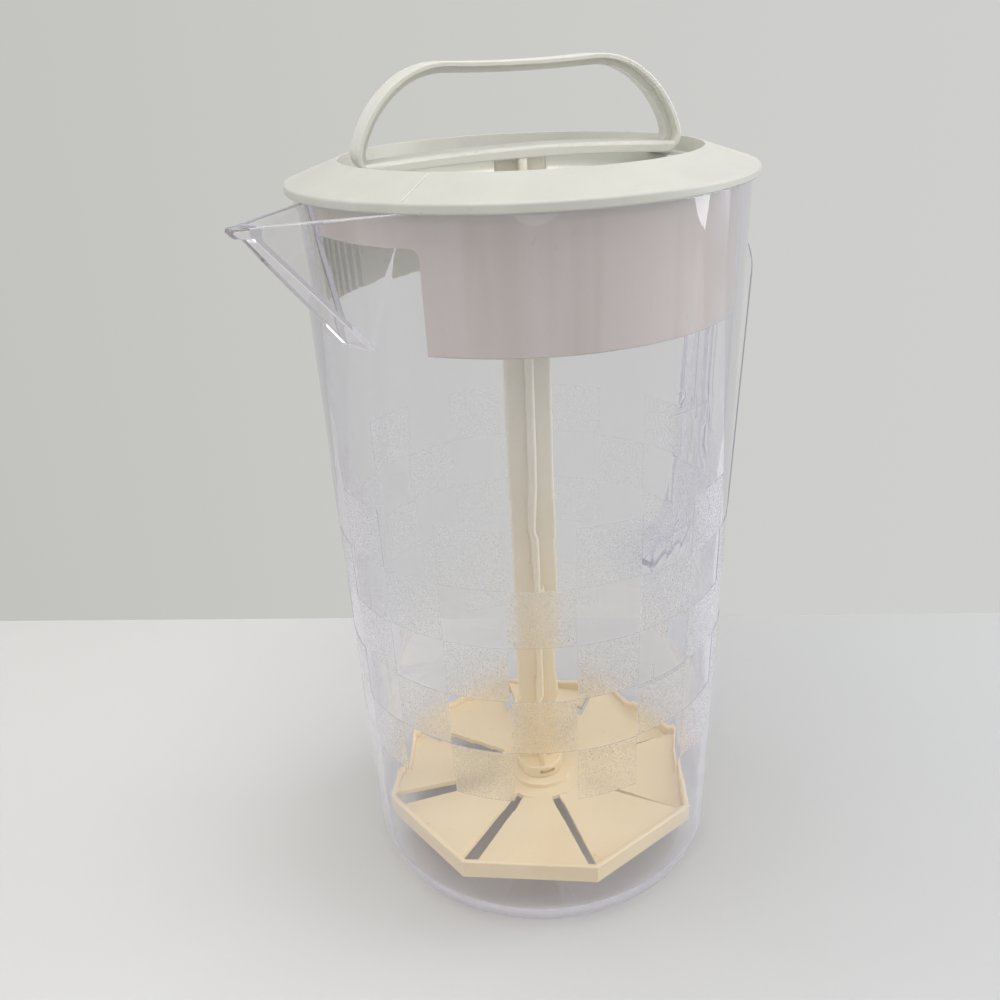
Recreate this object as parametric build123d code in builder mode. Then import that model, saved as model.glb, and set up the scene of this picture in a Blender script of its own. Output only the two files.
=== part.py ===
"""A clear stirring pitcher: a tapered body with a pour spout and a strap handle, a lid with a
deep skirt, and a plunger whose grip, rod and pitched mixing disc move up and down.

Millimetres, +Z up. The origin is the centre of the flat underside. The spout points along -X
and the strap handle along +X.
"""
from build123d import *
from math import cos, hypot, radians, sin, sqrt, tan
import os

# Body
body_height = 231.0
base_radius = 59.5
rim_radius = 64.8
wall = 2.4
floor = 3.0
foot_corner = 12.0
rim_round = 0.6

# Spout
spout_length = 31.7
spout_half_angle = 18.6
spout_depth = 35.0
spout_wall = 2.0
spout_heel_width = 9.0
spout_tip_width = 3.4
spout_tip_depth = 2.6
spout_beak = 4.0
spout_beak_chamfer = 1.6
spout_nose = 7.0
spout_root_depth = 18.0
spout_edge_round = 0.6
spout_outer_blend = 2.0
spout_inner_blend = 1.5

# Strap handle
strap_stand_off = 53.2
strap_lean = 11.0
strap_below_rim = 29.0
strap_height = 126.0
strap_depth = 13.0
strap_width = 15.0
strap_flange = 2.4
strap_web = 2.6
strap_bend = 18.0
strap_root_length = 1.2
strap_round = 0.7

# Lid
flange_overhang = 2.0
flange_width = 15.0
flange_edge = 2.5
flange_round = 0.8
ridge_width = 0.4
ridge_draft = 0.4
ridge_rise = 7.7
lid_wall = 2.0
skirt_depth = 35.5
skirt_clearance = 0.35
ledge_drop = 4.3
ledge_width = 8.0
well_depth = 10.7
well_draft = 0.4
well_floor_round = 1.2
ledge_round = 0.6
ridge_round = 0.15
skirt_round = 0.6
guide_wall = 3.2
guide_length = 8.0

# Openings in the skirt
notch_margin = 0.4
notch_band = 8.6
notch_corner = 2.5
strainer_angle = 118.0
strainer_slots = 6
strainer_slot_width = 2.4
strainer_pitch_angle = 4.1

# Plunger rod
rod_turn = -39.5
rod_width = 15.0
rod_rib = 2.4
rod_clearance = 0.3
rod_foot_lip = 1.0
rod_foot_height = 4.4
rod_foot_round = 0.5
rod_foot_slot_width = 6.4
rod_foot_slot_height = 1.4
rod_foot_slot_depth = 2.5
rod_end_recess = 0.5
spigot_radius = 3.0
spigot_length = 2.2
snap_clearance = 0.05

# Grip
grip_turn = -28.0
grip_clearance = 0.3
grip_toe_clearance = 2.2
grip_lean = 22.6
grip_bow = 5.7
grip_height = 28.1
grip_depth = 12.5
grip_thickness = 2.9
grip_flange = 1.2
grip_web = 4.4
grip_shoulder = 22.8
grip_toe = 5.0
grip_top_sag = 0.9
grip_bar_rise = 2.0
grip_bar_height = 3.1
grip_round = 0.45
grip_bar_round = 1.0

# Mixing disc
disc_turn = -29.0
disc_wall_gap = 1.2
disc_floor_gap = 14.8
disc_rim_height = 6.2
disc_rim_width = 1.8
disc_sides = 8
vane_thickness = 1.6
vane_pitch = 4.9
vane_drop = 0.9
slot_width = 3.4
hub_shoulder = 3.7
hub_drop = 1.0
hub_plate_rim = 4.8
hub_round = 0.8
disc_corner_round = 0.8
disc_edge_round = 0.5
vane_hold = 1.0

# Worked out from the sizes above
taper = (rim_radius - base_radius) / body_height


def outer_radius(height):
    """Outer radius of the tapered wall at a height."""
    return base_radius + taper * height


def inner_radius(height):
    """Inner radius of the tapered wall at a height."""
    return outer_radius(height) - wall


def skirt_radius(height):
    """Outer radius of the lid's skirt, which follows the wall with a clearance."""
    return inner_radius(height) - skirt_clearance


def bow_radius(half_chord, rise):
    """Radius of a shallow bow, from half its chord and its rise."""
    return (half_chord**2 + rise**2) / (2 * rise)


# Strap
strap_root = rim_radius + strap_root_length
strap_reach = rim_radius + strap_stand_off
strap_low_reach = strap_reach - strap_lean
strap_top = body_height - strap_below_rim
strap_bottom = strap_top - strap_height

# Lid, seated on the rim
lid_seat = body_height
flange_radius = rim_radius + flange_overhang
flange_top = lid_seat + flange_edge
ridge_radius = flange_radius - flange_width
ridge_top = lid_seat + ridge_rise
flange_slope = (ridge_top - flange_top) / flange_width
slope_wall = lid_wall * sqrt(1 + flange_slope**2)
ledge_radius = ridge_radius - ridge_width - ridge_draft
ledge_height = ridge_top - ledge_drop
well_radius = ledge_radius - ledge_width
well_floor = ridge_top - well_depth
guide_radius = rod_width / 2 + rod_clearance + guide_wall
guide_bottom = well_floor - lid_wall - guide_length
skirt_bottom = lid_seat - skirt_depth
skirt_inside = skirt_radius(lid_seat) - lid_wall
notch_half_angle = spout_half_angle + notch_margin
notch_half_width = rim_radius * sin(radians(notch_half_angle))
notch_top = lid_seat - notch_band

# Grip, whose toes fit inside the ridge
grip_bottom = ledge_height + grip_clearance
grip_top = grip_bottom + grip_height
grip_bottom_half_width = sqrt((ledge_radius - grip_toe_clearance) ** 2 - (grip_depth / 2) ** 2)
grip_top_half_width = grip_bottom_half_width - grip_lean
bar_underside = grip_bottom + grip_bar_rise
rod_top = bar_underside - snap_clearance

# Circles that the grip's legs, top and underside follow
grip_leg_chord = hypot(grip_lean, grip_height)
grip_leg_radius = bow_radius(grip_leg_chord / 2, grip_bow)
grip_top_radius = bow_radius(grip_top_half_width, grip_top_sag)
grip_bar_radius = bow_radius(grip_bottom_half_width, grip_bar_rise)
grip_leg_back = (grip_leg_radius - grip_bow) / grip_leg_chord
grip_leg_centre = grip_bottom_half_width - grip_lean / 2 - grip_leg_back * grip_height
grip_leg_height = grip_bottom + grip_height / 2 - grip_leg_back * grip_lean

# Mixing disc and the rod's foot on its hub
disc_bottom = floor + disc_floor_gap
disc_radius = inner_radius(disc_bottom) - disc_wall_gap
disc_rim_top = disc_bottom + disc_rim_height
rod_foot_radius = rod_width / 2 + rod_foot_lip
hub_radius = rod_foot_radius + hub_shoulder
hub_top = disc_rim_top - hub_drop
hub_plate_radius = hub_radius + hub_plate_rim
rod_foot_top = hub_top + rod_foot_height
rod_end = disc_bottom + rod_end_recess
half_sector = radians(180 / disc_sides)
vane_root = hub_plate_radius - vane_hold
vane_end = disc_radius * cos(half_sector) - disc_rim_width + vane_hold


def slope_height(radius):
    """Height of the flange's sloping top at a radius."""
    return flange_top + flange_slope * (flange_radius - radius)


def vane_half(reach):
    """Half the width of a vane at a reach, between two slots."""
    return reach * tan(half_sector) - slot_width / 2 / cos(half_sector)


vane_rise = vane_half(vane_end) * sin(radians(vane_pitch)) + vane_thickness / 2
vane_height = disc_rim_top - vane_drop - vane_rise

# The spout's panels run straight from its mouth in the wall to its tip
spout_reach = rim_radius + spout_length
spout_mouth_reach = rim_radius * cos(radians(spout_half_angle))
spout_mouth_half = rim_radius * sin(radians(spout_half_angle))
spout_root = rim_radius - spout_root_depth
spout_heel_height = body_height - spout_depth
spout_heel_reach = outer_radius(spout_heel_height)
spout_flare = (spout_mouth_half - spout_tip_width / 2) / (spout_reach - spout_mouth_reach)
heel_flare = (spout_heel_width - spout_tip_width) / 2 / (spout_reach - spout_heel_reach)
beak_reach = spout_reach - spout_beak
heel_slope = (spout_depth - spout_tip_depth) / (beak_reach - spout_heel_reach)
keel_rise = heel_slope * spout_beak
panel_inset = spout_wall * sqrt(1 + spout_flare**2)
heel_inset = spout_wall * sqrt(1 + heel_slope**2)


def spout_section(reach, panels_in=0.0, heel_in=0.0, above=0.0):
    """Section across the spout at a reach from the axis, with its panels moved inwards."""
    back = spout_reach - reach
    rim_half = spout_tip_width / 2 + spout_flare * back
    heel_half = spout_tip_width / 2 + heel_flare * back
    heel = body_height - spout_tip_depth - heel_slope * back
    lean = (rim_half - heel_half) / (body_height - heel)
    shift = panels_in * sqrt(1 + lean**2)
    low, high = heel + heel_in, body_height + above
    low_half = heel_half + lean * heel_in - shift
    high_half = rim_half + lean * above - shift
    with BuildSketch(Plane.YZ.offset(-reach)) as section:
        with BuildLine():
            Polyline(
                (-low_half, low), (low_half, low), (high_half, high), (-high_half, high),
                close=True,
            )
        make_face()
    return section.sketch


def spout_joint(builder, wall_radius):
    """Edges where the spout meets the inner or the outer skin of the wall."""
    def on_skin(edge):
        return all(
            abs(hypot(end.X, end.Y) - wall_radius(end.Z)) < 0.01 for end in edge.vertices()
        )
    near = builder.edges().filter_by(lambda edge: edge.center().X < -spout_root)
    below_rim = near.filter_by(lambda edge: edge.center().Z < body_height - rim_round)
    return below_rim.filter_by(lambda edge: edge.center().Z > foot_corner).filter_by(on_skin)


def strap_outline(inset):
    """Side face bounded by the strap's outer edge, moved inwards by an inset."""
    lean = (strap_reach - strap_low_reach) / (strap_top - strap_bottom)
    high, low = strap_top - inset, strap_bottom + inset
    high_reach = strap_reach - inset - lean * inset
    low_reach = strap_low_reach - inset + lean * inset
    with BuildSketch() as outline:
        with BuildLine():
            Polyline((0, low), (low_reach, low), (high_reach, high), (0, high), close=True)
        make_face()
        bends = outline.vertices().filter_by(lambda corner: corner.X > strap_root)
        fillet(bends, strap_bend - inset)
    return outline.sketch


def grip_outline(inset=0.0):
    """Front face of the grip, moved inwards: a slot shape cut by a wide circle above and below."""
    with BuildSketch() as outline:
        with Locations((0, grip_leg_height)):
            SlotCenterToCenter(2 * grip_leg_centre, 2 * (grip_leg_radius - inset))
        with Locations((0, grip_top - grip_top_sag + grip_top_radius)):
            Circle(grip_top_radius + inset, mode=Mode.SUBTRACT)
        with Locations((0, bar_underside - grip_bar_radius)):
            Circle(grip_bar_radius + inset, mode=Mode.SUBTRACT)
        fillet(outline.vertices().group_by(Axis.Y)[-1], grip_shoulder - inset)
        fillet(outline.vertices().group_by(Axis.Y)[0], grip_toe - inset)
    return outline.sketch


def grip_bar():
    """Front face of the grip's solid lower bar, which follows the bow of its underside."""
    with BuildSketch() as bar:
        add(grip_outline())
        with Locations((0, bar_underside - grip_bar_radius)):
            Circle(grip_bar_radius + grip_bar_height, mode=Mode.INTERSECT)
    return bar.sketch


def rod_cross(height, clearance=0.0):
    """Cross-shaped section of the rod with round tips, at a height."""
    with BuildSketch(Plane.XY.offset(height)) as cross:
        for quarter in (0, 90):
            SlotOverall(
                rod_width + 2 * clearance, rod_rib + 2 * clearance,
                rotation=rod_turn + quarter,
            )
    return cross.sketch


# The grip's front face looks along this plane's normal
grip_front = grip_turn - 90
grip_plane = Plane(
    origin=(0, 0, 0),
    x_dir=(cos(radians(grip_turn)), sin(radians(grip_turn)), 0),
    z_dir=(cos(radians(grip_front)), sin(radians(grip_front)), 0),
)

# Strap: two side flanges joined by a web, so each long face has a channel
with BuildPart() as strap:
    with BuildSketch(Plane.XZ):
        add(strap_outline(0))
        add(strap_outline(strap_depth), mode=Mode.SUBTRACT)
    extrude(amount=strap_width / 2, both=True)
    channel_depth = (strap_depth - strap_web) / 2
    channel_half = strap_width / 2 - strap_flange
    with BuildSketch(Plane.XZ):
        add(strap_outline(-1))
        add(strap_outline(channel_depth), mode=Mode.SUBTRACT)
    extrude(amount=channel_half, both=True, mode=Mode.SUBTRACT)
    with BuildSketch(Plane.XZ):
        add(strap_outline(strap_depth - channel_depth))
        add(strap_outline(strap_depth + 1), mode=Mode.SUBTRACT)
    extrude(amount=channel_half, both=True, mode=Mode.SUBTRACT)
    fillet(strap.faces().sort_by(Axis.Y)[0].edges(), strap_round)
    fillet(strap.faces().sort_by(Axis.Y)[-1].edges(), strap_round)

# Spout before it is hollowed: a wedge whose keel is cut back behind a flat beak
with BuildPart() as spout:
    loft([spout_section(spout_root), spout_section(spout_reach)], ruled=True)
    with BuildSketch(Plane.XZ):
        with BuildLine():
            beak_height = body_height - spout_tip_depth
            root_height = beak_height - heel_slope * (beak_reach - spout_root)
            Polyline(
                (-spout_reach, beak_height), (-beak_reach, beak_height),
                (-spout_root, root_height), (-spout_root, root_height - keel_rise),
                (-spout_reach, root_height - keel_rise), close=True,
            )
        make_face()
    extrude(amount=body_height, both=True, mode=Mode.SUBTRACT)
    nose_heel = spout.faces().sort_by(Axis.X)[0].edges().sort_by(Axis.Z)[0]
    chamfer(nose_heel, spout_beak_chamfer)
    keel_edges = spout.edges().sort_by(SortBy.LENGTH)[-2:]
    nose_edges = spout.faces().sort_by(Axis.X)[0].edges().filter_by(Axis.Z)
    fillet(keel_edges + nose_edges, spout_edge_round)

# Body: tapered wall, rounded foot, spout and the two roots of the strap
with BuildPart() as pitcher_body:
    with BuildSketch(Plane.XZ) as skin:
        with BuildLine():
            Polyline(
                (0, 0), (base_radius, 0), (rim_radius, body_height), (0, body_height),
                close=True,
            )
        make_face()
        fillet(skin.vertices().group_by(Axis.Y)[0].sort_by(Axis.X)[-1], foot_corner)
    revolve(axis=Axis.Z)
    add(spout.part)
    fillet(spout_joint(pitcher_body, outer_radius), spout_outer_blend)
    add(split(strap.part, bisect_by=Plane.YZ.offset(strap_root), keep=Keep.BOTTOM,
              mode=Mode.PRIVATE))
    with BuildSketch(Plane.XZ) as hollow:
        with BuildLine():
            Polyline(
                (0, floor), (inner_radius(floor), floor),
                (inner_radius(body_height + 1), body_height + 1), (0, body_height + 1),
                close=True,
            )
        make_face()
        fillet(hollow.vertices().group_by(Axis.Y)[0].sort_by(Axis.X)[-1], foot_corner - wall)
    revolve(axis=Axis.Z, mode=Mode.SUBTRACT)
    spout_void = [
        spout_section(reach, panel_inset, heel_inset + keel_rise, above=1.0)
        for reach in (spout_root, spout_reach - spout_nose)
    ]
    loft(spout_void, ruled=True, mode=Mode.SUBTRACT)
    fillet(spout_joint(pitcher_body, inner_radius), spout_inner_blend)
    fillet(pitcher_body.faces().sort_by(Axis.Z)[-1].edges(), rim_round)
pitcher_body.part.label = "pitcher_body"

# Strap handle: the strap outside its two roots
with BuildPart() as strap_handle:
    add(strap.part)
    split(bisect_by=Plane.YZ.offset(strap_root), keep=Keep.TOP)
strap_handle.part.label = "strap_handle"

# Lid: sloping flange, ridge, ledge, well with its rod guide, and the deep skirt
with BuildPart() as lid:
    with BuildSketch(Plane.XZ) as lid_half:
        with BuildLine():
            Polyline(
                (0, well_floor),
                (well_radius - well_draft, well_floor),
                (well_radius, ledge_height),
                (ledge_radius, ledge_height),
                (ridge_radius - ridge_width, ridge_top),
                (ridge_radius, ridge_top),
                (flange_radius, flange_top),
                (flange_radius, lid_seat),
                (skirt_radius(lid_seat), lid_seat),
                (skirt_radius(skirt_bottom), skirt_bottom),
                (skirt_radius(skirt_bottom) - lid_wall, skirt_bottom),
                (skirt_inside, slope_height(skirt_inside) - slope_wall),
                (ledge_radius + lid_wall, slope_height(ledge_radius + lid_wall) - slope_wall),
                (ledge_radius + lid_wall, ledge_height - lid_wall),
                (well_radius + lid_wall, ledge_height - lid_wall),
                (well_radius + lid_wall - well_draft, well_floor - lid_wall),
                (guide_radius, well_floor - lid_wall),
                (guide_radius, guide_bottom),
                (0, guide_bottom),
                close=True,
            )
        make_face()
        for corner, radius in (
            ((flange_radius, flange_top), flange_round),
            ((flange_radius, lid_seat), skirt_round),
            ((ridge_radius, ridge_top), ridge_round),
            ((ridge_radius - ridge_width, ridge_top), ridge_round),
            ((well_radius, ledge_height), ledge_round),
            ((well_radius - well_draft, well_floor), well_floor_round),
            ((skirt_radius(skirt_bottom), skirt_bottom), skirt_round),
            ((skirt_radius(skirt_bottom) - lid_wall, skirt_bottom), skirt_round),
            ((guide_radius, guide_bottom), skirt_round),
        ):
            fillet(lid_half.vertices().sort_by_distance(corner)[0], radius)
    revolve(axis=Axis.Z)
    extrude(rod_cross(guide_bottom, rod_clearance), amount=well_floor - guide_bottom,
            mode=Mode.SUBTRACT)

    # Pour notch at the spout, open at the bottom
    with BuildSketch(Plane.YZ.offset(-2 * guide_radius)) as notch:
        with Locations((0, skirt_bottom)):
            Rectangle(2 * notch_half_width, 2 * (notch_top - skirt_bottom))
        fillet(notch.vertices(), notch_corner)
    extrude(amount=-flange_radius, mode=Mode.SUBTRACT)

    # Strainer teeth beside the notch
    strainer_sweep = strainer_pitch_angle * (strainer_slots - 1)
    with Locations((0, 0, skirt_bottom - 1)):
        with PolarLocations(
            skirt_inside, strainer_slots, start_angle=strainer_angle - strainer_sweep / 2,
            angular_range=strainer_sweep, endpoint=True,
        ):
            Box(
                4 * lid_wall, strainer_slot_width, notch_top - skirt_bottom + 1,
                align=(Align.CENTER, Align.CENTER, Align.MIN), mode=Mode.SUBTRACT,
            )
lid.part.label = "lid"

# Grip: a closed arch with a T section, a wide flange outside a narrow web, over a solid bar
with BuildPart() as grip:
    for depth, thickness in ((grip_depth, grip_flange), (grip_web, grip_thickness)):
        with BuildSketch(grip_plane):
            add(grip_outline())
            add(grip_outline(thickness), mode=Mode.SUBTRACT)
        extrude(amount=depth / 2, both=True)
    with BuildSketch(grip_plane):
        add(grip_bar())
    extrude(amount=grip_depth / 2, both=True)
    along = Axis((0, 0, 0), grip_plane.z_dir)
    for face in (grip.faces().sort_by(along)[0], grip.faces().sort_by(along)[-1]):
        bar_edge = face.inner_wires()[0].edges().sort_by(SortBy.LENGTH)[-1]
        fillet(face.outer_wire().edges(), grip_round)
        fillet(bar_edge, grip_bar_round)
    with Locations((0, 0, bar_underside)):
        Cylinder(spigot_radius + snap_clearance, 2 * spigot_length, mode=Mode.SUBTRACT)
grip.part.label = "grip"

# Plunger rod: a cross in section, with a foot on the disc's hub and a spigot in the grip
with BuildPart() as plunger_rod:
    extrude(rod_cross(rod_end), amount=rod_top - rod_end)
    with Locations((0, 0, rod_top)):
        Cylinder(
            spigot_radius, spigot_length, align=(Align.CENTER, Align.CENTER, Align.MIN),
        )
    foot = Solid.make_cylinder(
        rod_foot_radius, rod_foot_height, Plane.XY.offset(hub_top)
    )
    add(foot.fillet(rod_foot_round, foot.edges().filter_by(GeomType.CIRCLE)))
    with BuildSketch(grip_plane.offset(rod_foot_radius)):
        with Locations((0, rod_foot_top - 1.5 * rod_foot_slot_height)):
            Rectangle(rod_foot_slot_width, rod_foot_slot_height)
    extrude(amount=-rod_foot_slot_depth, mode=Mode.SUBTRACT)
plunger_rod.part.label = "plunger_rod"

# One vane of the disc, pitched about its own middle line
with BuildPart() as vane:
    with BuildSketch(Plane((0, 0, vane_height)).rotated((vane_pitch, 0, 0))):
        with BuildLine():
            Polyline(
                (vane_root, -vane_half(vane_root)), (vane_end, -vane_half(vane_end)),
                (vane_end, vane_half(vane_end)), (vane_root, vane_half(vane_root)),
                close=True,
            )
        make_face()
    extrude(amount=vane_thickness / 2, both=True)

# Mixing disc: eight-sided rim, pitched vanes and the hub with its cross-shaped socket
with BuildPart() as mixing_disc:
    with BuildSketch(Plane.XY.offset(disc_bottom)):
        rim_shape = RegularPolygon(disc_radius, disc_sides, rotation=disc_turn)
        fillet(rim_shape.vertices(), disc_corner_round)
    extrude(amount=disc_rim_height)
    fillet(mixing_disc.faces().sort_by(Axis.Z)[-1].edges(), disc_edge_round)
    with BuildSketch(Plane.XY.offset(disc_bottom)):
        RegularPolygon(
            disc_radius - disc_rim_width / cos(half_sector), disc_sides, rotation=disc_turn,
        )
    extrude(amount=disc_rim_height, mode=Mode.SUBTRACT)
    with PolarLocations(0, disc_sides, start_angle=disc_turn + 180 / disc_sides):
        add(vane.part)
    with BuildSketch(Plane.XY.offset(vane_height - vane_thickness / 2)):
        Circle(hub_plate_radius)
    extrude(amount=vane_thickness)
    with BuildSketch(Plane.XY.offset(disc_bottom)):
        Circle(hub_radius)
    extrude(amount=hub_top - disc_bottom)
    fillet(mixing_disc.faces().sort_by(Axis.Z)[-1].edges(), hub_round)
    extrude(rod_cross(disc_bottom, snap_clearance), amount=hub_top - disc_bottom,
            mode=Mode.SUBTRACT)
mixing_disc.part.label = "mixing_disc"

os.makedirs("parts", exist_ok=True)
for piece in (pitcher_body, strap_handle, lid, grip, plunger_rod, mixing_disc):
    export_step(piece.part, f"parts/{piece.part.label}.step")
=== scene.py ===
import bmesh
import bpy
from math import cos, radians, sin, tau
from mathutils import Matrix, Vector


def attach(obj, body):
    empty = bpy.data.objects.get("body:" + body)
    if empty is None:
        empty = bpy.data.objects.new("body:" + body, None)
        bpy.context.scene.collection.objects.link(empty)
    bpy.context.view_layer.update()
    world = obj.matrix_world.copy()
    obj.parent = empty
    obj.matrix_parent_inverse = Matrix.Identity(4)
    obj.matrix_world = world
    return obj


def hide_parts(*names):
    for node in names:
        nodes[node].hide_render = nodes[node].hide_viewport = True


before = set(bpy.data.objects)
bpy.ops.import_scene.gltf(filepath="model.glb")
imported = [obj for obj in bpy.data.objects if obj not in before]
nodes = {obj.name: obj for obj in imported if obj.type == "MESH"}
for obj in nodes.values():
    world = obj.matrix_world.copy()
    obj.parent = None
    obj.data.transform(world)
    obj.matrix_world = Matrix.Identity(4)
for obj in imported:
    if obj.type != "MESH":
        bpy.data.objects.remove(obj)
scene = bpy.context.scene
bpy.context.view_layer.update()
mm = 0.001
print("frame loaded:", sorted(nodes))


# Small helpers for node trees and meshes

def newMaterial(name):
    material = bpy.data.materials.new(name)
    material.use_nodes = True
    tree = material.node_tree
    tree.nodes.clear()
    output = tree.nodes.new("ShaderNodeOutputMaterial")
    return material, tree, output


def addNode(tree, kind, settings=None, inputs=None):
    node = tree.nodes.new(kind)
    for key, value in (settings or {}).items():
        setattr(node, key, value)
    for key, value in (inputs or {}).items():
        if isinstance(value, bpy.types.NodeSocket):
            tree.links.new(value, node.inputs[key])
        else:
            node.inputs[key].default_value = value
    return node


def calc(tree, operation, first, second=0.0, third=0.0):
    node = addNode(tree, "ShaderNodeMath", {"operation": operation},
                   {0: first, 1: second, 2: third})
    return node.outputs[0]


def ramp(tree, value, low, high, lowOut=0.0, highOut=1.0):
    node = addNode(
        tree, "ShaderNodeMapRange", {"interpolation_type": "SMOOTHSTEP"},
        {"Value": value, "From Min": low, "From Max": high, "To Min": lowOut, "To Max": highOut},
    )
    return node.outputs["Result"]


def noise(tree, vector, scale=1.0, detail=3.0, rough=0.55):
    node = addNode(tree, "ShaderNodeTexNoise", {},
                   {"Vector": vector, "Scale": scale, "Detail": detail, "Roughness": rough})
    return node.outputs["Fac"]


def stretched(tree, vector, scale, turn=(0, 0, 0)):
    node = addNode(tree, "ShaderNodeMapping", {},
                   {"Vector": vector, "Scale": scale, "Rotation": turn})
    return node.outputs["Vector"]


def mixColour(tree, factor, first, second):
    node = addNode(tree, "ShaderNodeMix", {"data_type": "RGBA"}, {"Factor": factor})
    for key, value in (("A_Color", first), ("B_Color", second)):
        socket = next(s for s in node.inputs if s.identifier == key)
        if isinstance(value, bpy.types.NodeSocket):
            tree.links.new(value, socket)
        else:
            socket.default_value = (*value, 1.0)
    return next(s for s in node.outputs if s.identifier == "Result_Color")


def mixValue(tree, factor, first, second):
    node = addNode(tree, "ShaderNodeMix", {"data_type": "FLOAT"},
                   {"Factor": factor, "A": first, "B": second})
    return node.outputs["Result"]


def bump(tree, height, distance, strength, after=None):
    inputs = {"Height": height, "Distance": distance, "Strength": strength}
    if after is not None:
        inputs["Normal"] = after
    return addNode(tree, "ShaderNodeBump", {}, inputs).outputs["Normal"]


def mixShader(tree, share, first, second):
    return addNode(tree, "ShaderNodeMixShader", {}, {0: share, 1: first, 2: second}).outputs[0]


def place(tree):
    return addNode(tree, "ShaderNodeTexCoord").outputs["Object"]


# What the camera sees, straight or by way of gloss and clear plastic
def seenRays(tree):
    rays = addNode(tree, "ShaderNodeLightPath").outputs
    return calc(tree, "MAXIMUM", rays["Is Camera Ray"],
                calc(tree, "MAXIMUM", rays["Is Glossy Ray"], rays["Is Transmission Ray"]))


def newObject(name, data):
    made = bpy.data.objects.new(name, data)
    scene.collection.objects.link(made)
    return made


# Turns a worker object, modifiers and all, into a plain mesh
def plainMesh(worker):
    depsgraph = bpy.context.evaluated_depsgraph_get()
    mesh = bpy.data.meshes.new_from_object(worker.evaluated_get(depsgraph), depsgraph=depsgraph)
    bpy.data.objects.remove(worker)
    return mesh


def meshFrom(edit, name):
    mesh = bpy.data.meshes.new(name)
    edit.to_mesh(mesh)
    edit.free()
    return mesh


def newPiece(name, mesh, body, material):
    piece = newObject(name, mesh)
    mesh.materials.clear()
    mesh.materials.append(material)
    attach(piece, body)


def paint(nodeName, material):
    node = nodes[nodeName]
    node.data.materials.clear()
    node.data.materials.append(material)


# Clear plastic: a colourless moulding with a faint lilac cast along its edges, frosted where the
# faces carry the checker's frosted value

clearPlastic = {
    "refraction": 1.5,
    "surfaceTint": (0.985, 0.985, 0.99),
    "edgeTint": (0.46, 0.38, 0.68),
    "edgeDensity": 8.0,
    "rubbed": (0.01, 0.05),
    "frostRough": (0.22, 0.30),
    "frostClear": 0.985,
    "passTint": (0.965, 0.965, 0.97),
    "mirroredTint": (0.84, 0.83, 0.88),
    "hairlineTint": (0.95, 0.95, 0.96),
    "hairlineRough": 0.12,
    "rubbingScale": 70.0, "rubbingSpan": (0.45, 0.8),
    "hairlineScale": (900, 900, 60), "hairlineTurn": (0.2, 0.1, 0), "hairlineSpan": (0.66, 0.72),
    "grainScale": (2400, 2400, 1500), "grainSpan": (0.2, 0.8),
    "mouldingScale": (30, 30, 9), "mouldingDepth": 0.06 * mm, "mouldingStrength": 0.2,
    "scratchDepth": 0.004 * mm, "scratchStrength": 0.3,
}


def makeClear(name, spec):
    material, tree, output = newMaterial(name)
    spot = place(tree)
    frosted = addNode(tree, "ShaderNodeAttribute", {"attribute_name": "frosted"}).outputs["Fac"]
    rubbing = noise(tree, spot, spec["rubbingScale"], detail=5.0)
    drawn = stretched(tree, spot, spec["hairlineScale"], spec["hairlineTurn"])
    hairlines = ramp(tree, noise(tree, drawn, detail=2.0), *spec["hairlineSpan"])
    moulding = noise(tree, stretched(tree, spot, spec["mouldingScale"]), detail=2.0)
    grain = noise(tree, stretched(tree, spot, spec["grainScale"]), detail=2.0, rough=0.7)
    haze = ramp(tree, rubbing, *spec["rubbingSpan"], *spec["rubbed"])
    scratched = calc(tree, "MULTIPLY", hairlines, spec["hairlineRough"])
    polished = calc(tree, "MAXIMUM", haze, scratched)
    dull = ramp(tree, grain, *spec["grainSpan"], *spec["frostRough"])
    rough = mixValue(tree, frosted, polished, dull)
    normal = bump(tree, moulding, spec["mouldingDepth"], spec["mouldingStrength"])
    normal = bump(tree, hairlines, spec["scratchDepth"], spec["scratchStrength"], normal)
    frost = calc(tree, "MULTIPLY", grain, frosted)
    normal = bump(tree, frost, spec["scratchDepth"], spec["scratchStrength"], normal)
    colour = mixColour(tree, hairlines, spec["surfaceTint"], spec["hairlineTint"])
    through = mixValue(tree, frosted, 1.0, spec["frostClear"])
    shader = addNode(
        tree, "ShaderNodeBsdfPrincipled", {},
        {"Base Color": colour, "Roughness": rough, "Normal": normal,
         "IOR": spec["refraction"], "Transmission Weight": through},
    )
    # Lamps and bounced light go straight through the clear wall, so that what it holds is lit, and
    # light that a wall has mirrored inside leaves it at the next face, a little darker
    passing = addNode(tree, "ShaderNodeBsdfTransparent", {},
                      {"Color": (*spec["passTint"], 1.0)}).outputs[0]
    leaving = addNode(tree, "ShaderNodeBsdfTransparent", {},
                      {"Color": (*spec["mirroredTint"], 1.0)}).outputs[0]
    rays = addNode(tree, "ShaderNodeLightPath").outputs
    lit = mixShader(tree, rays["Is Shadow Ray"], shader.outputs[0], passing)
    mirrored = mixShader(tree, rays["Is Reflection Ray"], lit, leaving)
    surface = mixShader(tree, rays["Is Diffuse Ray"], mirrored, passing)
    tree.links.new(surface, output.inputs["Surface"])
    inside = addNode(tree, "ShaderNodeVolumeAbsorption", {},
                     {"Color": (*spec["edgeTint"], 1.0), "Density": spec["edgeDensity"]})
    tree.links.new(inside.outputs[0], output.inputs["Volume"])
    return material


clearMaterial = makeClear("clear_plastic", clearPlastic)


# Clear shell: the body and its strap as one moulding, with a checkered band of frosted cells

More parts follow.
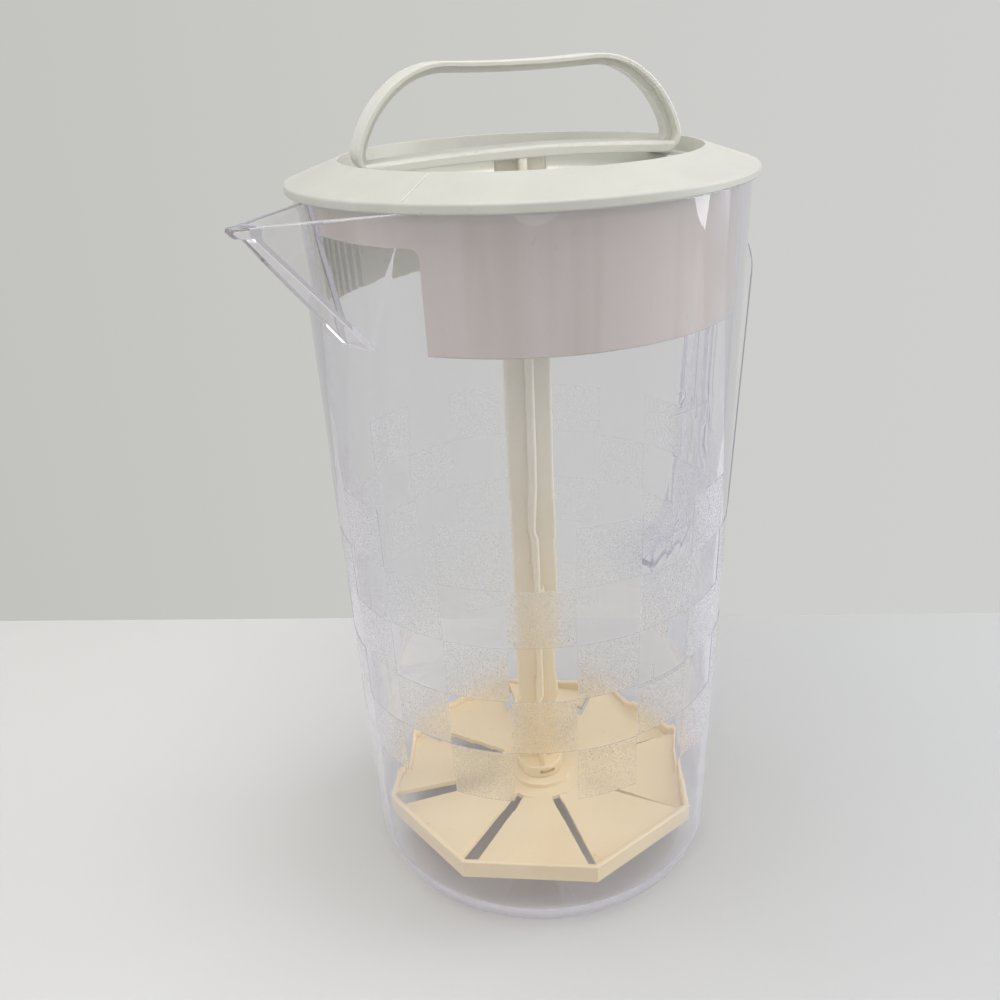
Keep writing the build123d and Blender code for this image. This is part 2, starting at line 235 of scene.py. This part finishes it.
clearShell = {
    "footRadius": 59.5 * mm,
    "rimRadius": 64.8 * mm,
    "height": 231.0 * mm,
    "strapSeam": 66.0 * mm,
    "samePoint": 1e-7,
    "seamTolerance": 0.02 * mm,
    "skinTolerance": 0.35 * mm,
    "outwardShare": 0.9,
    "smoothAngle": 28,
    "spoutFrom": (-58 * mm, 150 * mm),
}
checkerBand = {
    "columns": 20,
    "rows": 5,
    "top": 148.8 * mm,
    "rowHeight": 18.46 * mm,
    "gap": 0.22 * mm,
    "proud": 0.15 * mm,
    "margin": 2 * mm,
}


def wallRadius(height):
    return clearShell["footRadius"] + height / clearShell["height"] * (
        clearShell["rimRadius"] - clearShell["footRadius"])


def joinedShell():
    edit = bmesh.new()
    for name in ("pitcher_body", "strap_handle"):
        edit.from_mesh(nodes[name].data)
    bmesh.ops.remove_doubles(edit, verts=edit.verts, dist=clearShell["samePoint"])
    # The strap's ends meet the body on one flat plane, which goes, so that the plastic is one
    near = clearShell["seamTolerance"]
    onSeam = [v for v in edit.verts if abs(v.co.x - clearShell["strapSeam"]) < near]
    seam = [face for face in edit.faces if all(v in onSeam for v in face.verts)]
    bmesh.ops.delete(edit, geom=seam, context="FACES")
    onSeam = [v for v in onSeam if v.is_valid]
    bmesh.ops.remove_doubles(edit, verts=onSeam, dist=near)
    return edit


def wallFaces(edit, low, high):
    found = []
    for face in edit.faces:
        middle = face.calc_center_median()
        reach = middle.xy.length
        outward = face.normal.xy.dot(middle.xy) > clearShell["outwardShare"] * reach
        offWall = abs(reach - wallRadius(middle.z))
        if low < middle.z < high and outward and offWall < clearShell["skinTolerance"]:
            found.append(face)
    return found


def cutWall(edit, faces, point, normal):
    parts = set(faces)
    for face in faces:
        parts.update(face.edges)
        parts.update(face.verts)
    bmesh.ops.bisect_plane(edit, geom=list(parts), plane_co=point, plane_no=normal,
                           dist=clearShell["samePoint"])


def scoredShell():
    edit = joinedShell()
    band = checkerBand
    bottom = band["top"] - band["rows"] * band["rowHeight"]
    for row in range(band["rows"] + 1):
        for side in (-0.5, 0.5):
            height = band["top"] - row * band["rowHeight"] + side * band["gap"]
            faces = wallFaces(edit, 0, clearShell["height"])
            cutWall(edit, faces, (0, 0, height), (0, 0, 1))
    for column in range(band["columns"] // 2):
        turn = tau * column / band["columns"]
        across = Vector((-sin(turn), cos(turn), 0))
        for side in (-0.5, 0.5):
            faces = wallFaces(edit, bottom - band["margin"], band["top"] + band["margin"])
            cutWall(edit, faces, across * side * band["gap"], across)
    openEdges = sum(1 for edge in edit.edges if len(edge.link_faces) != 2)
    print("shell scored:", len(edit.faces), "faces,", openEdges, "open edges")
    return meshFrom(edit, "clear_shell")


def geometryTree(name, numbers, material):
    tree = bpy.data.node_groups.new(name, "GeometryNodeTree")
    tree.interface.new_socket("Geometry", in_out="INPUT", socket_type="NodeSocketGeometry")
    for label in numbers:
        tree.interface.new_socket(label, in_out="INPUT", socket_type="NodeSocketFloat")
    tree.interface.new_socket(material, in_out="INPUT", socket_type="NodeSocketMaterial")
    tree.interface.new_socket("Geometry", in_out="OUTPUT", socket_type="NodeSocketGeometry")
    start = tree.nodes.new("NodeGroupInput")
    end = tree.nodes.new("NodeGroupOutput")
    return tree, start, end


def runTree(name, mesh, tree, values):
    worker = newObject(name, mesh)
    modifier = worker.modifiers.new(name, "NODES")
    modifier.node_group = tree
    for item in tree.interface.items_tree:
        if item.item_type == "SOCKET" and item.in_out == "INPUT" and item.name in values:
            modifier[item.identifier] = values[item.name]
    return plainMesh(worker)


# Raises every second cell of the band and marks its face as frosted
def cellTree():
    tree, start, end = geometryTree("checker_cells", [
        "Columns", "Top", "Row Height", "Rows", "Gap", "Proud", "Foot Radius", "Rim Radius",
        "Height", "Skin Tolerance",
    ], "Plastic")
    value = start.outputs
    spot = addNode(tree, "ShaderNodeSeparateXYZ", {},
                   {0: addNode(tree, "GeometryNodeInputPosition").outputs[0]})
    x, y, z = spot.outputs
    turn = calc(tree, "DIVIDE", calc(tree, "ARCTAN2", y, x), tau)
    column = calc(tree, "MULTIPLY", turn, value["Columns"])
    row = calc(tree, "DIVIDE", calc(tree, "SUBTRACT", value["Top"], z), value["Row Height"])
    parity = calc(tree, "FLOORED_MODULO",
                  calc(tree, "ADD", calc(tree, "FLOOR", column), calc(tree, "FLOOR", row)), 2.0)
    inBand = calc(tree, "MULTIPLY", calc(tree, "GREATER_THAN", row, 0.0),
                  calc(tree, "LESS_THAN", row, value["Rows"]))
    rowEdge = calc(tree, "MULTIPLY", calc(tree, "PINGPONG", row, 0.5), value["Row Height"])
    radius = calc(tree, "SQRT", calc(tree, "ADD", calc(tree, "MULTIPLY", x, x),
                                     calc(tree, "MULTIPLY", y, y)))
    columnArc = calc(tree, "DIVIDE", calc(tree, "MULTIPLY", radius, tau), value["Columns"])
    columnEdge = calc(tree, "MULTIPLY", calc(tree, "PINGPONG", column, 0.5), columnArc)
    edge = calc(tree, "MINIMUM", rowEdge, columnEdge)
    offEdge = calc(tree, "GREATER_THAN", edge, calc(tree, "MULTIPLY", value["Gap"], 0.5))
    share = calc(tree, "DIVIDE", z, value["Height"])
    skin = calc(tree, "MULTIPLY_ADD", calc(tree, "SUBTRACT", value["Rim Radius"],
                                           value["Foot Radius"]), share, value["Foot Radius"])
    onSkin = calc(tree, "COMPARE", radius, skin, value["Skin Tolerance"])
    chosen = calc(tree, "MULTIPLY", calc(tree, "MULTIPLY", parity, inBand),
                  calc(tree, "MULTIPLY", offEdge, onSkin))
    facing = addNode(tree, "GeometryNodeInputNormal").outputs[0]
    raised = addNode(tree, "GeometryNodeExtrudeMesh", {"mode": "FACES"},
                     {"Mesh": value["Geometry"], "Selection": chosen, "Offset": facing,
                      "Offset Scale": value["Proud"], "Individual": False})
    marked = addNode(tree, "GeometryNodeStoreNamedAttribute",
                     {"data_type": "FLOAT", "domain": "FACE"},
                     {"Geometry": raised.outputs["Mesh"], "Name": "frosted",
                      "Value": raised.outputs["Top"]})
    whole = addNode(tree, "GeometryNodeRealizeInstances", {}, {"Geometry": marked.outputs[0]})
    dressed = addNode(tree, "GeometryNodeSetMaterial", {},
                      {"Geometry": whole.outputs[0], "Material": value["Plastic"]})
    tree.links.new(dressed.outputs[0], end.inputs[0])
    return tree


def smoothBy(mesh, degrees):
    for name in ("custom_normal", "sharp_face", "sharp_edge"):
        if name in mesh.attributes:
            mesh.attributes.remove(mesh.attributes[name])
    mesh.shade_smooth()
    mesh.set_sharp_from_angle(angle=radians(degrees))


# Weighs the spout's normals by area, so that its flat faces don't shade as bent
def flatSpout(mesh):
    worker = newObject("spout_worker", mesh)
    reach, height = clearShell["spoutFrom"]
    group = worker.vertex_groups.new(name="spout")
    group.add([v.index for v in mesh.vertices if v.co.x < reach and v.co.z > height], 1, "ADD")
    modifier = worker.modifiers.new("weighted", "WEIGHTED_NORMAL")
    modifier.keep_sharp = True
    modifier.vertex_group = group.name
    return plainMesh(worker)


shellMesh = runTree("checker_worker", scoredShell(), cellTree(), {
    "Columns": float(checkerBand["columns"]), "Top": checkerBand["top"],
    "Row Height": checkerBand["rowHeight"], "Rows": float(checkerBand["rows"]),
    "Gap": checkerBand["gap"], "Proud": checkerBand["proud"],
    "Foot Radius": clearShell["footRadius"], "Rim Radius": clearShell["rimRadius"],
    "Height": clearShell["height"], "Skin Tolerance": clearShell["skinTolerance"],
    "Plastic": clearMaterial,
})
smoothBy(shellMesh, clearShell["smoothAngle"])
shellMesh = flatSpout(shellMesh)
shellMesh.name = "clear_shell"
shell = newObject("clear_shell", shellMesh)
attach(shell, "pitcher")
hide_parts("pitcher_body", "strap_handle")
print("shell finished:", len(shellMesh.polygons), "faces", [m.name for m in shellMesh.materials])


# Raised marks on the wall, each a digit over a short line, in the body's own plastic

wallMarks = {
    "proud": 0.25 * mm, "clear": 0.02 * mm, "digitHeight": 5.0 * mm, "lift": 1.4 * mm,
    "lineWidth": 0.5 * mm, "segments": 24, "capShare": 0.7, "samePoint": 1e-6,
    # Each has its digit and its line's height, then in degrees where the line starts and ends
    # and where the digit starts
    "marks": (("1", 92.6 * mm, 252, 268, 255.0), ("2", 175.8 * mm, 258, 273, 261.0)),
}


# The extrusion lists its faces in another order each run, so they are put in a fixed one
def sortedMesh(edit, name):
    edit.verts.index_update()
    faces = []
    for face in edit.faces:
        corners = [vertex.index for vertex in face.verts]
        first = corners.index(min(corners))
        faces.append(corners[first:] + corners[:first])
    mesh = bpy.data.meshes.new(name)
    mesh.from_pydata([vertex.co[:] for vertex in edit.verts], [], sorted(faces))
    edit.free()
    return mesh


# Wraps a flat outline around the wall: x runs along it, y runs up it
def wrapped(flat, turn, height):
    edit = bmesh.new()
    edit.from_mesh(flat)
    bmesh.ops.remove_doubles(edit, verts=edit.verts, dist=wallMarks["samePoint"])
    bmesh.ops.recalc_face_normals(edit, faces=edit.faces)
    if sum(face.normal.z for face in edit.faces) < 0:
        bmesh.ops.reverse_faces(edit, faces=edit.faces)
    raised = bmesh.ops.extrude_face_region(edit, geom=edit.faces)["geom"]
    tops = {v for v in raised if isinstance(v, bmesh.types.BMVert)}
    for vertex in edit.verts:
        z = height + vertex.co.y
        reach = wallRadius(z) + wallMarks["clear"] + (
            wallMarks["proud"] if vertex in tops else 0.0)
        angle = radians(turn) + vertex.co.x / wallRadius(z)
        vertex.co = (reach * cos(angle), reach * sin(angle), z)
    return sortedMesh(edit, "mark")


def digitOutline(text):
    curve = bpy.data.curves.new("digit", "FONT")
    curve.body = text
    curve.size = wallMarks["digitHeight"] / wallMarks["capShare"]
    return plainMesh(newObject("digit", curve))


def lineOutline(length):
    half, steps = wallMarks["lineWidth"] / 2, wallMarks["segments"]
    spots = [(length * i / steps, side) for i in range(steps + 1) for side in (-half, half)]
    faces = [(2 * i, 2 * i + 2, 2 * i + 3, 2 * i + 1) for i in range(steps)]
    mesh = bpy.data.meshes.new("line")
    mesh.from_pydata([(x, y, 0) for x, y in spots], [], faces)
    return mesh


for text, height, start, end, digitTurn in wallMarks["marks"]:
    length = radians(end - start) * wallRadius(height)
    newPiece("line_" + text, wrapped(lineOutline(length), start, height), "pitcher",
             clearMaterial)
    newPiece("digit_" + text, wrapped(digitOutline(text), digitTurn, height + wallMarks["lift"]),
             "pitcher", clearMaterial)
print("wall marks raised")


# Opaque plastics: warm white, the rod's fade to cream, and the disc's cream

satin = {
    "mottleScale": 28.0, "mottleSpan": (0.3, 0.7),
    "fineScale": 900.0, "fineDepth": 0.02 * mm, "fineStrength": 0.35,
    "scuffScale": (160, 1300, 500), "scuffTurn": (0.3, 0.2, 0.9), "scuffSpan": (0.64, 0.74),
    "scuffShare": 0.25, "scuffDepth": 0.03 * mm, "scuffStrength": 0.3,
    "speckScale": 620.0, "speckSpan": (0.74, 0.8), "speckShare": 0.5,
    "waveScale": 16.0, "waveDepth": 0.6 * mm, "waveStrength": 0.2,
    "streakScale": (60, 60, 5), "streakSpan": (0.38, 0.66), "fadeShift": 3 * mm,
    "flatBelow": 0.3, "roughFine": 0.4, "roughSpan": (0.4, 1.0),
    "refraction": 1.48, "glowShare": 0.12, "glowDepth": 1.5 * mm,
}
lidPlastic = {
    "white": (0.59, 0.595, 0.555), "grey": (0.54, 0.54, 0.505), "grime": (0.45, 0.43, 0.38),
    "rough": (0.30, 0.46), "glow": (0.9, 0.8, 0.6),
}
gripPlastic = lidPlastic | {"white": (0.70, 0.70, 0.655), "grey": (0.66, 0.66, 0.62)}
# Painted shade under the lid's flange: a warm darker colour on the skirt's outward faces, with
# darker painted streaks for the clear wall's refraction, and painted light, a brighter white, on
# the faces that look in; flat faces keep the lid's white
skirtPaintedShade = {
    "tintBelow": 229 * mm, "plainAbove": 233 * mm,
    "tint": (0.61, 0.56, 0.535), "streak": (0.54, 0.485, 0.45), "inside": (0.80, 0.79, 0.73),
    "flat": lidPlastic["white"],
}


# One where a face looks straight out from the upright axis, zero where it lies flat, and below
# zero where it looks in
def outwardness(tree, spot):
    level = addNode(tree, "ShaderNodeVectorMath", {"operation": "MULTIPLY"},
                    {0: spot, 1: (1, 1, 0)}).outputs[0]
    away = addNode(tree, "ShaderNodeVectorMath", {"operation": "NORMALIZE"}, {0: level})
    facing = addNode(tree, "ShaderNodeTexCoord").outputs["Normal"]
    return addNode(tree, "ShaderNodeVectorMath", {"operation": "DOT_PRODUCT"},
                   {0: away.outputs[0], 1: facing}).outputs["Value"]


# Satin moulding with soft mottling, light scuffs and a little dirt. A fade tints it from the foot
# up, with its own colours for the faces that look in and those that lie flat. On the rod the fade
# is its own cream. On the lid's skirt it is painted shade and darker painted refraction streaks on
# the faces that look out, and painted light on the faces that look in
def makeOpaque(name, spec, fade=None):
    material, tree, output = newMaterial(name)
    spot = place(tree)
    mottle = noise(tree, spot, satin["mottleScale"], detail=4.0)
    fine = noise(tree, spot, satin["fineScale"], rough=0.7)
    slanted = stretched(tree, spot, satin["scuffScale"], satin["scuffTurn"])
    scuffs = ramp(tree, noise(tree, slanted, detail=2.0), *satin["scuffSpan"])
    specks = ramp(tree, noise(tree, spot, satin["speckScale"], detail=1.0), *satin["speckSpan"])
    mottled = ramp(tree, mottle, *satin["mottleSpan"])
    colour = mixColour(tree, mottled, spec["white"], spec["grey"])
    if fade is not None:
        height = addNode(tree, "ShaderNodeSeparateXYZ", {}, {0: spot}).outputs[2]
        uneven = calc(tree, "MULTIPLY_ADD", mottle, satin["fadeShift"], height)
        share = ramp(tree, uneven, fade["tintBelow"], fade["plainAbove"], 1.0, 0.0)
        facing = outwardness(tree, spot)
        inside = calc(tree, "LESS_THAN", facing, 0.0)
        flat = calc(tree, "LESS_THAN", calc(tree, "ABSOLUTE", facing), satin["flatBelow"])
        upright = noise(tree, stretched(tree, spot, satin["streakScale"]))
        streaks = ramp(tree, upright, *satin["streakSpan"])
        # On the lid's skirt these colours are painted shade and painted refraction streaks on
        # outward faces and painted light on inward faces; on the rod they are its own cream
        tint = mixColour(tree, streaks, fade["tint"], fade["streak"])
        tint = mixColour(tree, inside, tint, fade["inside"])
        tint = mixColour(tree, flat, tint, fade["flat"])
        colour = mixColour(tree, share, colour, tint)
    for dirt, part in ((scuffs, satin["scuffShare"]), (specks, satin["speckShare"])):
        colour = mixColour(tree, calc(tree, "MULTIPLY", dirt, part), colour, spec["grime"])
    worn = calc(tree, "MULTIPLY_ADD", fine, satin["roughFine"], mottle)
    rough = ramp(tree, worn, *satin["roughSpan"], *spec["rough"])
    waves = noise(tree, spot, satin["waveScale"], detail=2.0)
    normal = bump(tree, fine, satin["fineDepth"], satin["fineStrength"])
    normal = bump(tree, scuffs, satin["scuffDepth"], satin["scuffStrength"], normal)
    normal = bump(tree, waves, satin["waveDepth"], satin["waveStrength"], normal)
    shader = addNode(
        tree, "ShaderNodeBsdfPrincipled", {},
        {"Base Color": colour, "Roughness": rough, "Normal": normal, "IOR": satin["refraction"],
         "Subsurface Weight": satin["glowShare"], "Subsurface Scale": satin["glowDepth"],
         "Subsurface Radius": spec["glow"]},
    )
    tree.links.new(shader.outputs[0], output.inputs["Surface"])
    return material


paint("lid", makeOpaque("lid_plastic", lidPlastic, skirtPaintedShade))
gripMaterial = makeOpaque("grip_plastic", gripPlastic)
paint("grip", gripMaterial)


# Thin raised line on the lid's sloping flange, from its ridge to its edge

flangeLine = {
    "turn": 198.5, "width": 0.35 * mm, "proud": 0.15 * mm, "sunk": 0.1 * mm,
    "inner": (52.1 * mm, 238.66 * mm), "outer": (65.9 * mm, 233.86 * mm),
}


def flangeLineMesh(spec):
    ahead = Vector((cos(radians(spec["turn"])), sin(radians(spec["turn"])), 0))
    side = Vector((-ahead.y, ahead.x, 0)) * spec["width"] / 2
    corners = []
    for reach, height in (spec["inner"], spec["outer"]):
        for lift in (-spec["sunk"], spec["proud"]):
            for sign in (-1, 1):
                corners.append(ahead * reach + side * sign + Vector((0, 0, height + lift)))
    edit = bmesh.new()
    bmesh.ops.convex_hull(edit, input=[edit.verts.new(corner) for corner in corners])
    return meshFrom(edit, "flange_line")


newPiece("flange_line", flangeLineMesh(flangeLine), "lid", gripMaterial)

rodPlastic = {
    "white": (0.84, 0.81, 0.73), "grey": (0.78, 0.75, 0.66), "grime": (0.55, 0.50, 0.40),
    "rough": (0.26, 0.40), "glow": (0.9, 0.75, 0.5),
}
rodCream = (0.87, 0.73, 0.47)
rodFade = {
    "tintBelow": 20 * mm, "plainAbove": 175 * mm,
    "tint": rodCream, "streak": (0.78, 0.64, 0.39), "inside": rodCream, "flat": rodCream,
}
paint("plunger_rod", makeOpaque("rod_plastic", rodPlastic, rodFade))

discPlastic = {
    "white": (0.88, 0.74, 0.50), "grey": (0.84, 0.69, 0.45), "grime": (0.56, 0.44, 0.28),
    "rough": (0.28, 0.42), "glow": (0.9, 0.7, 0.45),
}
paint("mixing_disc", makeOpaque("disc_plastic", discPlastic))
print("opaque plastics painted")


# Stage: a pale table in front of a pale wall, soft light, and the photo's camera

photoCamera = {
    "distance": 303.6 * mm, "height": 267.9 * mm, "yaw": -0.034, "pitch": 0.427, "roll": -0.048,
    "focalPixels": 1018.676, "framePixels": 1000, "sensor": 36.0, "turn": radians(-46.5),
}
studio = {
    "reach": 4.0, "ambient": (0.36, 0.34, 0.32),
    "tableTone": (0.635, 0.64, 0.645), "tableShadeRight": (0.52, 0.53, 0.545),
    "tableShadeSpan": (-0.1, 0.25), "tableFade": (0.7, 1.8), "tableRough": 0.6,
    "tableMottleScale": 9.0, "tableMottleShift": 0.1,
    "tableGrainScale": 260.0, "tableGrainDepth": 0.3 * mm, "tableGrainStrength": 0.15,
    "wallTone": (0.625, 0.625, 0.61), "wallShadeLeft": (0.525, 0.525, 0.50),
    "wallShadeSpan": (-0.45, 0.25), "wallBehind": 141 * mm, "wallSlope": -0.0431,
}
lamps = {
    "overhead": {"spot": (-0.05, -0.2, 1.3), "target": (0, 0, 0.1), "size": 1.2,
                 "watts": 11.0, "colour": (1.0, 0.99, 0.97)},
    "front_fill": {"spot": (-0.1, -1.2, 0.75), "target": (0, 0, 0.08), "size": 1.0,
                   "watts": 3.2, "colour": (1.0, 0.99, 0.97)},
    "right_window": {"spot": (1.25, 0.2, 0.5), "target": (0, 0, 0.12), "size": 0.9,
                     "watts": 11.0, "colour": (0.97, 0.98, 1.0)},
    "left_window": {"spot": (-1.25, 0.15, 0.5), "target": (0, 0, 0.12), "size": 0.9,
                    "watts": 3.0, "colour": (1.0, 0.99, 0.96)},
}
photoTurn = Matrix.Rotation(photoCamera["turn"], 4, "Z")


# A flat backdrop, with its corners given as the photo's camera faces them
def stagePiece(name, corners, material):
    mesh = bpy.data.meshes.new(name)
    mesh.from_pydata([photoTurn @ Vector(corner) for corner in corners], [], [(0, 1, 2, 3)])
    mesh.materials.append(material)
    piece = newObject(name, mesh)
    return piece


# The distance to the right as the photo's camera sees it
def acrossPhoto(tree, spot):
    turned = stretched(tree, spot, (1, 1, 1), (0, 0, -photoCamera["turn"]))
    return addNode(tree, "ShaderNodeSeparateXYZ", {}, {0: turned}).outputs[0]


def tableMaterial():
    material, tree, output = newMaterial("table")
    spot = place(tree)
    mottle = noise(tree, spot, studio["tableMottleScale"], detail=4.0)
    uneven = calc(tree, "MULTIPLY_ADD", mottle, studio["tableMottleShift"],
                  acrossPhoto(tree, spot))
    shade = ramp(tree, uneven, *studio["tableShadeSpan"])
    tone = mixColour(tree, shade, studio["tableTone"], studio["tableShadeRight"])
    grain = noise(tree, spot, studio["tableGrainScale"], detail=4.0)
    normal = bump(tree, grain, studio["tableGrainDepth"], studio["tableGrainStrength"])
    shader = addNode(tree, "ShaderNodeBsdfPrincipled", {},
                     {"Base Color": tone, "Roughness": studio["tableRough"], "Normal": normal})
    # Far from the pitcher the table runs into the room's tone
    away = addNode(tree, "ShaderNodeVectorMath", {"operation": "LENGTH"}, {0: spot})
    share = ramp(tree, away.outputs["Value"], *studio["tableFade"])
    beyond = addNode(tree, "ShaderNodeEmission", {}, {"Color": (*studio["wallTone"], 1.0)})
    surface = mixShader(tree, share, shader.outputs[0], beyond.outputs[0])
    tree.links.new(surface, output.inputs["Surface"])
    return material


# Seen from the front only, at its own tone; from behind it lets everything past
def wallMaterial():
    material, tree, output = newMaterial("wall")
    share = ramp(tree, acrossPhoto(tree, place(tree)), *studio["wallShadeSpan"])
    tone = mixColour(tree, share, studio["wallShadeLeft"], studio["wallTone"])
    shown = addNode(tree, "ShaderNodeEmission", {}, {"Color": tone})
    lit = addNode(tree, "ShaderNodeBsdfDiffuse", {}, {"Color": tone})
    front = mixShader(tree, seenRays(tree), lit.outputs[0], shown.outputs[0])
    clear = addNode(tree, "ShaderNodeBsdfTransparent")
    away = addNode(tree, "ShaderNodeNewGeometry").outputs["Backfacing"]
    surface = mixShader(tree, away, front, clear.outputs[0])
    tree.links.new(surface, output.inputs["Surface"])
    return material


reach = studio["reach"]
floorCorners = [(-reach, -reach, 0), (reach, -reach, 0), (reach, reach, 0), (-reach, reach, 0)]
stagePiece("table", floorCorners, tableMaterial())
left = studio["wallBehind"] - reach * studio["wallSlope"]
right = studio["wallBehind"] + reach * studio["wallSlope"]
wallCorners = [(-reach, left, 0), (reach, right, 0), (reach, right, reach), (-reach, left, reach)]
wall = stagePiece("wall", wallCorners, wallMaterial())
wall.visible_shadow = False


def addLamp(name, spec):
    lamp = bpy.data.lights.new(name, "AREA")
    lamp.shape = "DISK"
    lamp.size = spec["size"]
    lamp.energy = spec["watts"]
    lamp.color = spec["colour"]
    holder = newObject(name, lamp)
    start, end = photoTurn @ Vector(spec["spot"]), photoTurn @ Vector(spec["target"])
    holder.location = start
    holder.rotation_euler = (end - start).to_track_quat("-Z", "Y").to_euler()
    holder.visible_camera = False
    holder.visible_transmission = False


for name, spec in lamps.items():
    addLamp(name, spec)

world = bpy.data.worlds.new("room")
world.use_nodes = True
scene.world = world
roomTree = world.node_tree
tone = mixColour(roomTree, seenRays(roomTree), studio["ambient"], studio["wallTone"])
roomTree.links.new(tone, roomTree.nodes["Background"].inputs["Color"])

scene.view_settings.view_transform = "Standard"
scene.cycles.max_bounces = 24
scene.cycles.glossy_bounces = 12
scene.cycles.transmission_bounces = 24
scene.cycles.transparent_max_bounces = 24

lens = bpy.data.cameras.new("photo_camera")
lens.sensor_width = photoCamera["sensor"]
lens.lens = photoCamera["sensor"] * photoCamera["focalPixels"] / photoCamera["framePixels"]
lens.clip_start = 0.01
lens.clip_end = 50.0
yaw, pitch, roll = photoCamera["yaw"], photoCamera["pitch"], photoCamera["roll"]
ahead = Vector((sin(yaw), cos(yaw), 0))
sideways = Vector((cos(yaw), -sin(yaw), 0))
upward = Vector((0, 0, 1))
look = ahead * cos(pitch) - upward * sin(pitch)
top = ahead * sin(pitch) + upward * cos(pitch)
rightTilted = sideways * cos(roll) + top * sin(roll)
topTilted = top * cos(roll) - sideways * sin(roll)
pose = Matrix((rightTilted, topTilted, -look)).transposed().to_4x4()
pose.translation = Vector((0, -photoCamera["distance"], photoCamera["height"]))
camera = newObject("photo_camera", lens)
camera.matrix_world = photoTurn @ pose
scene.camera = camera
print("stage and camera placed")
